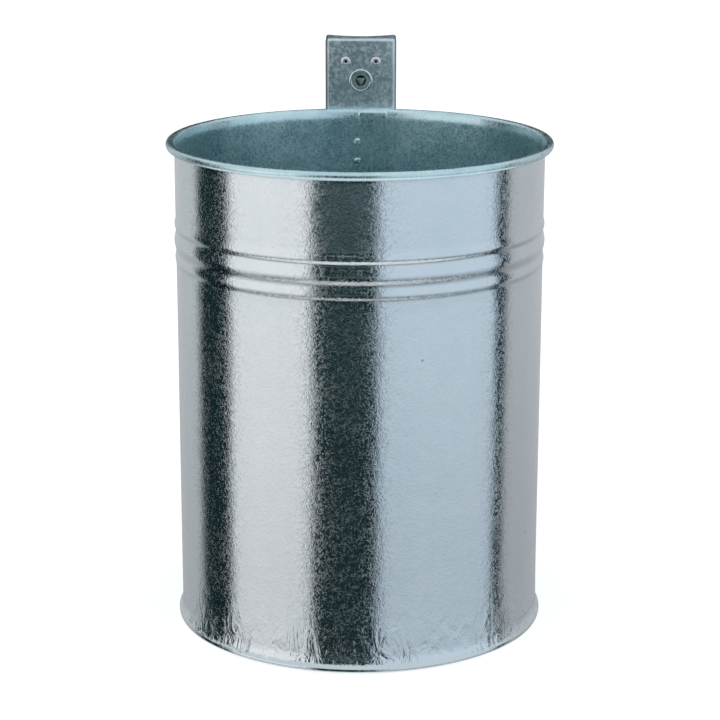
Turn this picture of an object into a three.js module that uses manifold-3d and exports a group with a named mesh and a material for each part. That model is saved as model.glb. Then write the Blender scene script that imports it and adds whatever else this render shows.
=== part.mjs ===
// A galvanized steel waste bin that hangs from a wall rail by a hood-shaped bracket.
// Millimetres, +Z up, the front of the bin towards -Y. The origin is the centre of the
// floor's underside, on the bin's axis.
import * as THREE from 'three';
import { mergeVertices } from 'three/addons/utils/BufferGeometryUtils.js';
import Module from 'manifold-3d';

const wasm = await Module();
wasm.setup();

// ---------------------------------------------------------------- driving dimensions
const SEGMENTS = 48; // facets round everything turned about the bin's axis
const SMALL_SEGMENTS = 20; // facets round rivets and lock parts
const ROOT = 0.5; // how far joined shapes of one piece run into each other
const CLEARANCE = 0.3; // between pieces that are closed up on each other

// shell
const BODY_R = 160; // outside radius of the plain wall
const RIM_Z = 425.5; // height of the rim wire's centre
const SHEET = 1; // shell and floor sheet
const WIRE_R = 2.4; // wire inside the curled rim
const CURL_END = -118; // degrees, where the curled edge stops
const FLARE_H = 6; // height over which the wall steps out to the curl
const BEAD_DROP = 63.2; // rim wire's centre down to the first bead
const BEADS = [
  { width: 11, rise: 1.0 },
  { width: 18.5, rise: 1.35 },
  { width: 11.7, rise: 0.8 },
];
const LAP_WIDTH = 28; // overlap of the rolled sheet, inside at the back
const LAP_EDGE_X = -2.8; // its free edge

// floor
const FLANGE = 2; // the shell's foot turned outwards
const FOLD_GAP = 0.7; // above and below that flange in the folded seam
const DRAIN_R = 4;
const DRAIN_CIRCLE_R = 110;
const DRAIN_COUNT = 4;

// hood bracket
const HOOD_WIDTH = 66;
const HOOD_SHEET = 2;
const HOOD_DEPTH = 34;
const HOOD_RISE = 68; // its top above the rim wire's centre
const HOOD_BEND = 4; // outside radius of its two upright bends
const RIM_TO_HOOD = 0.6; // clearance behind the curled rim
const JOGGLE_START = 5.5; // below the rim wire's centre
const JOGGLE_HEIGHT = 12;
const HOOD_TO_BEAD = 4; // the hood ends this far above the first bead
const POST_ARC_R = 46; // hollow rear edge of the hood's top, for a round post

// welds between hood and shell
const WELD_WIDTH = 13;
const WELD_END = 3; // short of the hood's lower edge
const PLUG_R = 3;
const PLUG_HEAD = 1.4; // how far a plug weld stands into the bin
const PLUG_DROPS = [27.5, 45.5]; // below the rim wire's centre

// hook plate
const HOOK_SHEET = 2.5;
const HOOK_SIDE_GAP = 2; // to the rail's side walls
const HOOK_BEHIND_LIP = 0.5; // its own lip behind the rail's lips
const HOOK_TO_HOOD = 13; // its shelf's top below the hood's top
const LEAF_BELOW_RIVET = 8.3;
const LIP_TO_WASHER = 1.1; // its lip ends this far above the cam's washer

// blind rivets
const RIVET_EDGE = 10; // centres inside the hook plate's edges
const RIVET_TO_SHELF = 2; // the bulb's edge below the hook plate's shelf
const RIVET_R = 2.4;
const RIVET_HEAD_R = 4.5;
const RIVET_HEAD = 1.4;
const RIVET_BORE_R = 1.6;
const RIVET_BULB = 4.4;
const RIVET_BULB_R = 3.7;
const MANDREL_R = 1.3;
const MANDREL_HEAD_R = 2.6;
const MANDREL_HEAD = 1.6;
const MANDREL_RECESS = 1.5; // its broken end below the rivet's face

// lock
const LOCK_TO_RIVETS = 17.9; // the lock's centre below the rivets' centres
const BEZEL_R = 11;
const BEZEL = 2.4;
const BARREL_R = 9.8;
const BARREL_BORE_R = 8.3;
const BARREL_LENGTH = 11; // behind the hood's face
const BARREL_END = 2;
const LOCK_WASHER_R = 13;
const LOCK_WASHER = 1;
const NUT_ACROSS = 24;
const NUT = 4;
const DRIVER_R = 4.7; // corner radius of the three-sided driver
const DRIVER_RECESS = 2.7; // its face below the bezel's
const SOCKET_R = 5.2; // the well round the driver
const CUP_RECESS = 2.2; // the core's face below the bezel's
const COLLAR = 2.4;
const JOURNAL_R = 4.5;
const JOURNAL_GAP = 0.3;
const SQUARE = 6;
const SQUARE_GAP = 0.2;
const CAM_SHEET = 2;
const CAM_BOSS_R = 9;
const CAM_REACH = 22;
const CAM_WIDTH = 11;
const CAM_WASHER_R = 6.5;
const CAM_WASHER = 1.2;
const CAM_SCREW_R = 2;
const CAM_SCREW_ACROSS = 8;
const CAM_SCREW_HEAD = 3.2;
const CAM_SCREW_LENGTH = 10;

// wall rail, a lipped channel
const RAIL_SIDE_GAP = 3; // to the hood's cheeks
const RAIL_SHEET = 2;
const SLOT_TO_CAM = 3; // either side of the cam's boss as the bin is lifted
const BARREL_TO_RAIL = 2; // free depth between the barrel's end and the rail's lips
const WALL_TO_HOOD = 1.5; // the hood stops short of the wall
const RAIL_SHORT = 4; // the rail ends this far above the hood's lower edge
const CAM_SWEEP_GAP = 1.2;
const KEEPER_GAP = 0.8; // between the locked cam and the metal above it
const SCREW_HOLE_R = 4;
const SCREW_DROPS = [16, 92]; // below the rail's top
const STRAP_SLOT_H = 16;
const STRAP_SLOT_D = 5;
const STRAP_DROPS = [38, 72]; // below the rail's top

// ---------------------------------------------------------------- derived places
const CURL_R = WIRE_R + CLEARANCE + SHEET;
const CURL_CENTRE_R = BODY_R + CURL_R;
const FLANGE_Z = SHEET + FOLD_GAP + SHEET / 2;
const BEAD_TOP_Z = RIM_Z - BEAD_DROP;

const HOOD_FACE_Y = CURL_CENTRE_R + CURL_R + RIM_TO_HOOD;
const HOOD_SEAT_Y = BODY_R + CLEARANCE;
const HOOD_REAR_Y = HOOD_FACE_Y + HOOD_DEPTH;
const HOOD_TOP_Z = RIM_Z + HOOD_RISE;
const HOOD_FOOT_Z = BEAD_TOP_Z + HOOD_TO_BEAD;
const HOOD_INSIDE_Y = HOOD_FACE_Y + HOOD_SHEET;

const RAIL_WIDTH = HOOD_WIDTH - 2 * (HOOD_SHEET + RAIL_SIDE_GAP);
const HOOK_WIDTH = RAIL_WIDTH - 2 * (RAIL_SHEET + HOOK_SIDE_GAP);
const RIVET_X = HOOK_WIDTH / 2 - RIVET_EDGE;
const RAIL_FRONT_Y = HOOD_FACE_Y + BARREL_LENGTH + BARREL_TO_RAIL;
const WALL_Y = HOOD_REAR_Y + WALL_TO_HOOD;
const SHELF_Z = HOOD_TOP_Z - HOOK_TO_HOOD; // top of the hook plate's shelf
const RAIL_TOP_Z = SHELF_Z - HOOK_SHEET;
const RAIL_FOOT_Z = HOOD_FOOT_Z + RAIL_SHORT;
const LIP_FRONT_Y = RAIL_FRONT_Y + RAIL_SHEET + HOOK_BEHIND_LIP;

const RIVET_Z = RAIL_TOP_Z - RIVET_TO_SHELF - RIVET_BULB_R;
const LOCK_Z = RIVET_Z - LOCK_TO_RIVETS;
const LEAF_FOOT_Z = RIVET_Z - LEAF_BELOW_RIVET;
const LIP_FOOT_Z = LOCK_Z + CAM_WASHER_R + LIP_TO_WASHER;

// ---------------------------------------------------------------- helpers
const galvanized = (color, roughness) =>
  new THREE.MeshStandardMaterial({ color, roughness, metalness: 0.85 });

const radians = THREE.MathUtils.degToRad;

// Points of an arc, both ends included. Angles in degrees.
function arc(cx, cy, r, from, to, steps) {
  const points = [];
  for (let i = 0; i <= steps; i++) {
    const a = radians(from + ((to - from) * i) / steps);
    points.push(new THREE.Vector2(cx + r * Math.cos(a), cy + r * Math.sin(a)));
  }
  return points;
}

// The closed outline of a sheet of even thickness laid along a centre line.
function sheetOutline(line, thickness) {
  const offset = (side) =>
    line.map((p, i) => {
      const a = line[Math.max(i - 1, 0)];
      const b = line[Math.min(i + 1, line.length - 1)];
      const u = p.clone().sub(a);
      const v = b.clone().sub(p);
      if (i === 0) u.copy(v);
      if (i === line.length - 1) v.copy(u);
      const n = new THREE.Vector2(-u.y, u.x).normalize();
      const m = new THREE.Vector2(-v.y, v.x).normalize();
      const mitre = n.clone().add(m).normalize();
      const length = thickness / 2 / mitre.dot(n);
      return p.clone().addScaledVector(mitre, side * length);
    });
  return [...offset(-1), ...offset(1).reverse()];
}

// A profile of (radius, height) turned about the bin's axis.
function turnedUpright(profile, closed) {
  const points = closed ? [...profile, profile[0].clone()] : profile;
  return new THREE.LatheGeometry(points, SEGMENTS).rotateX(Math.PI / 2);
}

// A profile of (radius, y) turned about a line along Y through (x, z).
function turnedAcross(profile, x, z, segments = SMALL_SEGMENTS) {
  return new THREE.LatheGeometry(
    profile.map(([r, y]) => new THREE.Vector2(r, y)),
    segments,
  ).translate(x, 0, z);
}

const outline = (points) =>
  new THREE.Shape(points.map((p) => (p.isVector2 ? p : new THREE.Vector2(...p))));

// A plan outline raised from z0 to z1.
const raised = (shape, z0, z1) =>
  new THREE.ExtrudeGeometry(shape, { depth: z1 - z0, bevelEnabled: false }).translate(0, 0, z0);

// An outline seen from the front, (x, z), made as thick as y0 to y1.
const frontal = (shape, y0, y1) =>
  new THREE.ExtrudeGeometry(shape, { depth: y1 - y0, bevelEnabled: false })
    .rotateX(Math.PI / 2)
    .translate(0, y1, 0);

// A three.js geometry as a solid that can be joined and cut.
function solid(geometry) {
  const g = geometry.clone();
  g.deleteAttribute('normal');
  g.deleteAttribute('uv');
  const merged = mergeVertices(g, 1e-4);
  return new wasm.Manifold(
    new wasm.Mesh({
      numProp: 3,
      vertProperties: merged.attributes.position.array,
      triVerts: new Uint32Array(merged.index.array),
    }),
  );
}

function geometryOf(made) {
  const { vertProperties, triVerts, numProp } = made.getMesh();
  const places = new Float32Array((vertProperties.length / numProp) * 3);
  for (let i = 0; i < places.length / 3; i++)
    for (let k = 0; k < 3; k++) places[i * 3 + k] = vertProperties[i * numProp + k];
  const g = new THREE.BufferGeometry();
  g.setAttribute('position', new THREE.BufferAttribute(places, 3));
  g.setIndex(new THREE.BufferAttribute(new Uint32Array(triVerts), 1));
  return g.toNonIndexed();
}

const cut = (whole, ...tools) =>
  geometryOf(tools.reduce((rest, tool) => rest.subtract(solid(tool)), solid(whole)));

const bin = new THREE.Group();
function add(name, geometry, material) {
  geometry.computeVertexNormals();
  const mesh = new THREE.Mesh(geometry, material);
  mesh.name = name;
  bin.add(mesh);
}

const shellZinc = galvanized(0x97a4a6, 0.42);
const hoodZinc = galvanized(0x6f7f84, 0.5);
const darkZinc = galvanized(0x6a7476, 0.55);
const brightZinc = galvanized(0xb4bbbb, 0.35);

// ---------------------------------------------------------------- shell
// Centre line of the wall from its turned-out foot up to the end of the curl.
const wall = [
  new THREE.Vector2(BODY_R + FLANGE, FLANGE_Z),
  new THREE.Vector2(BODY_R - SHEET / 2, FLANGE_Z),
];
const beadPoints = [];
let beadZ = BEAD_TOP_Z;
for (const { width, rise } of BEADS) {
  for (let i = 0; i < 6; i++) {
    const swell = (rise * (1 - Math.cos((2 * Math.PI * i) / 6))) / 2;
    beadPoints.push(
      new THREE.Vector2(BODY_R - SHEET / 2 + swell, beadZ - (width * i) / 6),
    );
  }
  beadZ -= width;
}
beadPoints.push(new THREE.Vector2(BODY_R - SHEET / 2, beadZ));
wall.push(...beadPoints.reverse());
wall.push(new THREE.Vector2(BODY_R - SHEET / 2, RIM_Z - CURL_R - FLARE_H));
wall.push(
  ...arc(CURL_CENTRE_R, RIM_Z, CURL_R - SHEET / 2, 180, CURL_END, 13),
);

const lapAngle = (x) => (Math.acos(x / BODY_R) * 180) / Math.PI;
const lapArc = (r, from, to) => arc(0, 0, r, lapAngle(from), lapAngle(to), 4);
const lap = raised(
  outline([
    ...lapArc(BODY_R - SHEET * 0.7, LAP_EDGE_X + LAP_WIDTH, LAP_EDGE_X),
    ...lapArc(BODY_R - SHEET * 2.1, LAP_EDGE_X, LAP_EDGE_X + LAP_WIDTH),
  ]),
  FLANGE_Z,
  RIM_Z - CURL_R - FLARE_H,
);
const plugHoles = PLUG_DROPS.map((drop) =>
  turnedAcross(
    [
      [0, BODY_R - 3 * SHEET],
      [PLUG_R + CLEARANCE, BODY_R - 3 * SHEET],
      [PLUG_R + CLEARANCE, BODY_R + SHEET],
      [0, BODY_R + SHEET],
    ],
    LAP_EDGE_X,
    RIM_Z - drop,
  ),
);
const plainShell = turnedUpright(sheetOutline(wall, SHEET), true);
add(
  'bin_body',
  cut(geometryOf(solid(plainShell).add(solid(lap))), ...plugHoles),
  shellZinc,
);

add(
  'rim_wire',
  turnedUpright(arc(CURL_CENTRE_R, RIM_Z, WIRE_R, 0, 324, 9), true),
  brightZinc,
);

// ---------------------------------------------------------------- floor
// A pan whose edge is folded up and in over the shell's foot.
const hemR = BODY_R + FLANGE + CLEARANCE + SHEET / 2;
const hemZ = FLANGE_Z + SHEET + FOLD_GAP;
const pan = turnedUpright(
  sheetOutline(
    [
      new THREE.Vector2(0, SHEET / 2),
      new THREE.Vector2(hemR, SHEET / 2),
      new THREE.Vector2(hemR, hemZ),
      new THREE.Vector2(BODY_R + CLEARANCE, hemZ),
    ],
    SHEET,
  ),
  false,
);
const drains = [];
for (let i = 0; i < DRAIN_COUNT; i++) {
  const a = (2 * Math.PI * (i + 0.5)) / DRAIN_COUNT;
  drains.push(
    new THREE.CylinderGeometry(DRAIN_R, DRAIN_R, 4 * SHEET, 16)
      .rotateX(Math.PI / 2)
      .translate(DRAIN_CIRCLE_R * Math.cos(a), DRAIN_CIRCLE_R * Math.sin(a), 0),
  );
}
add('floor_pan', cut(pan, ...drains), shellZinc);

// ---------------------------------------------------------------- hood bracket
// Plan of the folded plate: two cheeks and a face, with its face at y.
function hoodPlan(y) {
  const x = HOOD_WIDTH / 2;
  const bend = x - HOOD_BEND;
  const cy = y + HOOD_BEND;
  const inner = HOOD_BEND - HOOD_SHEET;
  return [
    new THREE.Vector2(-x, HOOD_REAR_Y),
    ...arc(-bend, cy, HOOD_BEND, 180, 270, 4),
    ...arc(bend, cy, HOOD_BEND, 270, 360, 4),
    new THREE.Vector2(x, HOOD_REAR_Y),
    new THREE.Vector2(x - HOOD_SHEET, HOOD_REAR_Y),
    ...arc(bend, cy, inner, 360, 270, 4),
    ...arc(-bend, cy, inner, 270, 180, 4),
    new THREE.Vector2(-x + HOOD_SHEET, HOOD_REAR_Y),
  ];
}

// A closed body through equal plans at rising heights.
function lofted(levels) {
  const n = levels[0].plan.length;
  const places = levels.flatMap(({ z, plan }) => plan.flatMap((p) => [p.x, p.y, z]));
  const faces = [];
  for (let k = 0; k + 1 < levels.length; k++)
    for (let i = 0; i < n; i++) {
      const j = (i + 1) % n;
      const [a, b, c, d] = [k * n + i, k * n + j, (k + 1) * n + j, (k + 1) * n + i];
      faces.push(a, b, c, a, c, d);
    }
  const top = (levels.length - 1) * n;
  for (const [a, b, c] of THREE.ShapeUtils.triangulateShape(levels[0].plan, []))
    faces.push(c, b, a);
  for (const [a, b, c] of THREE.ShapeUtils.triangulateShape(levels.at(-1).plan, []))
    faces.push(top + a, top + b, top + c);
  const g = new THREE.BufferGeometry();
  g.setAttribute('position', new THREE.Float32BufferAttribute(places, 3));
  g.setIndex(faces);
  return g;
}

const joggleZ = RIM_Z - JOGGLE_START;
const hoodFold = lofted([
  { z: HOOD_FOOT_Z, plan: hoodPlan(HOOD_SEAT_Y) },
  { z: joggleZ - JOGGLE_HEIGHT, plan: hoodPlan(HOOD_SEAT_Y) },
  { z: joggleZ, plan: hoodPlan(HOOD_FACE_Y) },
  { z: HOOD_TOP_Z, plan: hoodPlan(HOOD_FACE_Y) },
]);

// The top: the plan's outside, with a hollow rear edge.
const halfHood = HOOD_WIDTH / 2;
const hollow = (Math.asin(halfHood / POST_ARC_R) * 180) / Math.PI;
const postY = HOOD_REAR_Y + Math.sqrt(POST_ARC_R ** 2 - halfHood ** 2);
const hoodTop = raised(
  outline([
    ...arc(-halfHood + HOOD_BEND, HOOD_FACE_Y + HOOD_BEND, HOOD_BEND, 180, 270, 4),
    ...arc(halfHood - HOOD_BEND, HOOD_FACE_Y + HOOD_BEND, HOOD_BEND, 270, 360, 4),
    ...arc(0, postY, POST_ARC_R, 270 + hollow, 270 - hollow, 12),
  ]),
  HOOD_TOP_Z - HOOD_SHEET,
  HOOD_TOP_Z,
);

// A round hole through plates between y0 and y1.
const hole = (r, x, z, y0, y1) =>
  turnedAcross([[0, y0], [r, y0], [r, y1], [0, y1]], x, z);

const rivetHole = (x) =>
  hole(RIVET_R + CLEARANCE, x, RIVET_Z, HOOD_FACE_Y - 1, HOOD_INSIDE_Y + 2 * HOOK_SHEET);
const rivetHoles = [rivetHole(-RIVET_X), rivetHole(RIVET_X)];
const barrelHole = hole(
  BARREL_R + CLEARANCE,
  0,
  LOCK_Z,
  HOOD_FACE_Y - 1,
  HOOD_INSIDE_Y + 1,
);
add(
  'mounting_hood',
  cut(geometryOf(solid(hoodFold).add(solid(hoodTop))), ...rivetHoles, barrelHole),
  hoodZinc,
);

// Fillet welds in the wedge between the hood's bends and the round wall.
function sideWeld() {
  const r = BODY_R + CLEARANCE;
  const bend = halfHood - HOOD_BEND;
  const from = halfHood - WELD_WIDTH / 2;
  const to = halfHood + WELD_WIDTH / 4;
  const at = (x) => new THREE.Vector2(x, Math.sqrt(r ** 2 - x ** 2));
  const along = [];
  for (let i = 0; i <= 4; i++) along.push(at(to + ((from - to) * i) / 4));
  return outline([
    new THREE.Vector2(from, HOOD_SEAT_Y - CLEARANCE),
    ...arc(bend, HOOD_SEAT_Y + HOOD_BEND, HOOD_BEND + CLEARANCE, 270, 350, 4),
    ...along,
  ]);
}
const weldFoot = HOOD_FOOT_Z + WELD_END;
const weldTop = joggleZ - JOGGLE_HEIGHT;
const weldRight = raised(sideWeld(), weldFoot, weldTop);
add('hood_weld_right', weldRight, darkZinc);
const turnRound = weldRight.clone().scale(-1, 1, 1);
const flipped = turnRound.attributes.position.array;
for (let i = 0; i < flipped.length; i += 9)
  for (let k = 0; k < 3; k++)
    [flipped[i + 3 + k], flipped[i + 6 + k]] = [flipped[i + 6 + k], flipped[i + 3 + k]];
add('hood_weld_left', turnRound, darkZinc);

// Plug welds through the wall into the hood's seat.
['upper', 'lower'].forEach((level, i) => {
  const inside = BODY_R - 2 * SHEET;
  add(
    'hood_weld_' + level,
    turnedAcross(
      [
        [0, inside - PLUG_HEAD],
        [PLUG_R * 0.6, inside - PLUG_HEAD * 0.8],
        [PLUG_R, inside],
        [PLUG_R, HOOD_SEAT_Y],
        [0, HOOD_SEAT_Y],
      ],
      LAP_EDGE_X,
      RIM_Z - PLUG_DROPS[i],
      16,
    ),
    darkZinc,
  );
});

// ---------------------------------------------------------------- hook plate
// A leaf riveted behind the hood's face, a shelf that sits on the rail's lips and a lip
// that drops behind them.
const hookX = HOOK_WIDTH / 2;
const hookSide = outline([
  [HOOD_INSIDE_Y, LEAF_FOOT_Z],
  [HOOD_INSIDE_Y + HOOK_SHEET, LEAF_FOOT_Z],
  [HOOD_INSIDE_Y + HOOK_SHEET, SHELF_Z - HOOK_SHEET],
  [LIP_FRONT_Y, SHELF_Z - HOOK_SHEET],
  [LIP_FRONT_Y, LIP_FOOT_Z],
  [LIP_FRONT_Y + HOOK_SHEET, LIP_FOOT_Z],
  [LIP_FRONT_Y + HOOK_SHEET, SHELF_Z],
  [HOOD_INSIDE_Y, SHELF_Z],
]);
const hookBar = new THREE.ExtrudeGeometry(hookSide, {
  depth: HOOK_WIDTH,
  bevelEnabled: false,
})
  .rotateX(Math.PI / 2)
  .rotateZ(Math.PI / 2)
  .translate(-hookX, 0, 0);
const nutCorner = NUT_ACROSS / 2 / Math.cos(Math.PI / 6);
const nutSpace = hole(
  nutCorner + 5 * CLEARANCE,
  0,
  LOCK_Z,
  HOOD_INSIDE_Y - 1,
  HOOD_INSIDE_Y + HOOK_SHEET + 1,
);
add('hook_plate', cut(hookBar, ...rivetHoles, nutSpace), hoodZinc);

// ---------------------------------------------------------------- blind rivets
const GRIP_Y = HOOD_INSIDE_Y + HOOK_SHEET;
for (const [side, x] of [['left', -RIVET_X], ['right', RIVET_X]]) {
  add(
    'rivet_' + side,
    turnedAcross(
      [
        [RIVET_BORE_R, HOOD_FACE_Y - RIVET_HEAD],
        [RIVET_HEAD_R * 0.6, HOOD_FACE_Y - RIVET_HEAD * 0.9],
        [RIVET_HEAD_R * 0.9, HOOD_FACE_Y - RIVET_HEAD * 0.5],
        [RIVET_HEAD_R, HOOD_FACE_Y],
        [RIVET_R, HOOD_FACE_Y],
        [RIVET_R, GRIP_Y],
        [RIVET_BULB_R, GRIP_Y],
        [RIVET_BULB_R, GRIP_Y + RIVET_BULB * 0.7],
        [RIVET_R, GRIP_Y + RIVET_BULB],
        [RIVET_BORE_R, GRIP_Y + RIVET_BULB],
        [RIVET_BORE_R, HOOD_FACE_Y - RIVET_HEAD],
      ],
      x,
      RIVET_Z,
    ),
    brightZinc,
  );
  const tail = GRIP_Y + RIVET_BULB + CLEARANCE;
  add(
    'mandrel_' + side,
    turnedAcross(
      [
        [0, HOOD_FACE_Y - RIVET_HEAD + MANDREL_RECESS],
        [MANDREL_R, HOOD_FACE_Y - RIVET_HEAD + MANDREL_RECESS],
        [MANDREL_R, tail],
        [MANDREL_HEAD_R, tail],
        [MANDREL_HEAD_R * 0.8, tail + MANDREL_HEAD],
        [0, tail + MANDREL_HEAD],
      ],
      x,
      RIVET_Z,
      12,
    ),
    darkZinc,
  );
}

// ---------------------------------------------------------------- lock barrel
const BEZEL_Y = HOOD_FACE_Y - BEZEL;
const BARREL_REAR_Y = HOOD_FACE_Y + BARREL_LENGTH;
const BARREL_FLOOR_Y = BARREL_REAR_Y - BARREL_END;
add(
  'lock_barrel',
  turnedAcross(
    [
      [BARREL_BORE_R, BEZEL_Y],
      [BEZEL_R * 0.93, BEZEL_Y],
      [BEZEL_R, BEZEL_Y + BEZEL * 0.4],
      [BEZEL_R, HOOD_FACE_Y],
      [BARREL_R, HOOD_FACE_Y],
      [BARREL_R, BARREL_REAR_Y],
      [JOURNAL_R + JOURNAL_GAP, BARREL_REAR_Y],
      [JOURNAL_R + JOURNAL_GAP, BARREL_FLOOR_Y],
      [BARREL_BORE_R, BARREL_FLOOR_Y],
      [BARREL_BORE_R, BEZEL_Y],
    ],
    0,
    LOCK_Z,
    28,
  ),
  brightZinc,
);
add(
  'lock_washer',
  turnedAcross(
    [
      [BARREL_R + CLEARANCE, HOOD_INSIDE_Y],
      [LOCK_WASHER_R, HOOD_INSIDE_Y],
      [LOCK_WASHER_R, HOOD_INSIDE_Y + LOCK_WASHER],
      [BARREL_R + CLEARANCE, HOOD_INSIDE_Y + LOCK_WASHER],
      [BARREL_R + CLEARANCE, HOOD_INSIDE_Y],
    ],
    0,
    LOCK_Z,
    28,
  ),
  darkZinc,
);

// A six-sided outline about a point seen from the front.
const hexagon = (across, x, z) =>
  outline(arc(x, z, across / 2 / Math.cos(Math.PI / 6), 0, 300, 5));
const nutY = HOOD_INSIDE_Y + LOCK_WASHER;
add(
  'lock_nut',
  cut(
    frontal(hexagon(NUT_ACROSS, 0, LOCK_Z), nutY, nutY + NUT),
    turnedAcross(
      [[0, nutY - 1], [BARREL_R + CLEARANCE, nutY - 1],
        [BARREL_R + CLEARANCE, nutY + NUT + 1], [0, nutY + NUT + 1]],
      0,
      LOCK_Z,
      28,
    ),
  ),
  darkZinc,
);

// ---------------------------------------------------------------- turning core of the lock
// The three-sided driver in its well, the journal through the barrel and the square.
const CAM_Y = RAIL_FRONT_Y + RAIL_SHEET - CAM_SHEET;
const COLLAR_REAR_Y = BARREL_FLOOR_Y - CLEARANCE;
const COLLAR_Y = COLLAR_REAR_Y - COLLAR;
const driver = frontal(
  outline(arc(0, LOCK_Z, DRIVER_R, -90, 150, 2)),
  BEZEL_Y + DRIVER_RECESS,
  COLLAR_Y + ROOT,
);
const journal = turnedAcross(
  [
    [0, COLLAR_Y],
    [SOCKET_R, COLLAR_Y],
    [SOCKET_R, BEZEL_Y + CUP_RECESS],
    [BARREL_BORE_R - CLEARANCE, BEZEL_Y + CUP_RECESS],
    [BARREL_BORE_R - CLEARANCE, COLLAR_REAR_Y],
    [JOURNAL_R, COLLAR_REAR_Y],
    [JOURNAL_R, CAM_Y],
    [0, CAM_Y],
  ],
  0,
  LOCK_Z,
  28,
);
const squareAt = (side, y0, y1) =>
  frontal(
    outline([
      [-side / 2, LOCK_Z - side / 2],
      [side / 2, LOCK_Z - side / 2],
      [side / 2, LOCK_Z + side / 2],
      [-side / 2, LOCK_Z + side / 2],
    ]),
    y0,
    y1,
  );
const CAM_REAR_Y = CAM_Y + CAM_SHEET;
const screwTip = CAM_REAR_Y + CAM_WASHER - CAM_SCREW_LENGTH;
const core = solid(driver)
  .add(solid(journal))
  .add(solid(squareAt(SQUARE, CAM_Y - ROOT, CAM_REAR_Y - CLEARANCE)));
add(
  'key_spindle',
  cut(
    geometryOf(core),
    hole(CAM_SCREW_R + CLEARANCE, 0, LOCK_Z, screwTip - CLEARANCE, CAM_REAR_Y + 1),
  ),
  darkZinc,
);

// The cam hangs down when the lock is open.
const tip = CAM_REACH - CAM_WIDTH / 2;
const neck = Math.asin(CAM_WIDTH / 2 / CAM_BOSS_R) * (180 / Math.PI);
const camOutline = outline([
  ...arc(0, LOCK_Z, CAM_BOSS_R, -90 + neck, 270 - neck, 16),
  ...arc(0, LOCK_Z - tip, CAM_WIDTH / 2, 180, 360, 8),
]);
add(
  'lock_cam',
  cut(
    frontal(camOutline, CAM_Y, CAM_REAR_Y),
    squareAt(SQUARE + SQUARE_GAP, CAM_Y - 1, CAM_REAR_Y + 1),
  ),
  brightZinc,
);
add(
  'cam_washer',
  turnedAcross(
    [
      [CAM_SCREW_R + CLEARANCE, CAM_REAR_Y],
      [CAM_WASHER_R, CAM_REAR_Y],
      [CAM_WASHER_R, CAM_REAR_Y + CAM_WASHER],
      [CAM_SCREW_R + CLEARANCE, CAM_REAR_Y + CAM_WASHER],
      [CAM_SCREW_R + CLEARANCE, CAM_REAR_Y],
    ],
    0,
    LOCK_Z,
  ),
  brightZinc,
);
const headY = CAM_REAR_Y + CAM_WASHER;
const screwShank = turnedAcross(
  [[0, screwTip], [CAM_SCREW_R, screwTip], [CAM_SCREW_R, headY + ROOT], [0, headY + ROOT]],
  0,
  LOCK_Z,
);
add(
  'cam_screw',
  geometryOf(
    solid(screwShank).add(
      solid(frontal(hexagon(CAM_SCREW_ACROSS, 0, LOCK_Z), headY, headY + CAM_SCREW_HEAD)),
    ),
  ),
  brightZinc,
);

// ---------------------------------------------------------------- wall rail
// A lipped channel, open to the front, screwed or strapped by its back.
const railX = RAIL_WIDTH / 2;
const slotX = CAM_BOSS_R + SLOT_TO_CAM;
const railPlan = outline([
  [-railX, RAIL_FRONT_Y],
  [-slotX, RAIL_FRONT_Y],
  [-slotX, RAIL_FRONT_Y + RAIL_SHEET],
  [-railX + RAIL_SHEET, RAIL_FRONT_Y + RAIL_SHEET],
  [-railX + RAIL_SHEET, WALL_Y - RAIL_SHEET],
  [railX - RAIL_SHEET, WALL_Y - RAIL_SHEET],
  [railX - RAIL_SHEET, RAIL_FRONT_Y + RAIL_SHEET],
  [slotX, RAIL_FRONT_Y + RAIL_SHEET],
  [slotX, RAIL_FRONT_Y],
  [railX, RAIL_FRONT_Y],
  [railX, WALL_Y],
  [-railX, WALL_Y],
]);
const rail = raised(railPlan, RAIL_FOOT_Z, RAIL_TOP_Z);

// Room for the cam to swing from hanging down to lying left under the keeper.
const sweepR = CAM_REACH + CAM_SWEEP_GAP;
const roof = CAM_WIDTH / 2 + KEEPER_GAP;
const roofAngle = Math.asin(roof / sweepR) * (180 / Math.PI);
const sweep = frontal(
  outline([
    [0, LOCK_Z + roof],
    ...arc(0, LOCK_Z, sweepR, 180 - roofAngle, 270, 12),
    [0, LOCK_Z],
  ]),
  RAIL_FRONT_Y - 1,
  RAIL_FRONT_Y + RAIL_SHEET + 1,
);
const screwHoles = SCREW_DROPS.map((drop) =>
  hole(SCREW_HOLE_R, 0, RAIL_TOP_Z - drop, WALL_Y - RAIL_SHEET - 1, WALL_Y + 1),
);
const strapY = WALL_Y - RAIL_SHEET - STRAP_SLOT_D;
const strapSlots = STRAP_DROPS.map((drop) =>
  raised(
    outline([
      [-railX - 1, strapY],
      [railX + 1, strapY],
      [railX + 1, strapY + STRAP_SLOT_D],
      [-railX - 1, strapY + STRAP_SLOT_D],
    ]),
    RAIL_TOP_Z - drop - STRAP_SLOT_H / 2,
    RAIL_TOP_Z - drop + STRAP_SLOT_H / 2,
  ),
);
add('wall_rail', cut(rail, sweep, ...screwHoles, ...strapSlots), hoodZinc);

export default bin;
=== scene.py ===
# %% [markdown]
# # A galvanized waste bin with a hood bracket
#
# This lesson dresses the solid model of a wall-hung steel waste bin. The solid model is
# faceted and plain; here each piece that shows is made again as fine bent sheet, and every
# piece gets a hot-dip zinc finish. The first cell loads the solid model as a fixed frame.
# All new pieces are placed in that same frame, in metres, with +Z up and the bin's front
# towards -Y.

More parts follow.
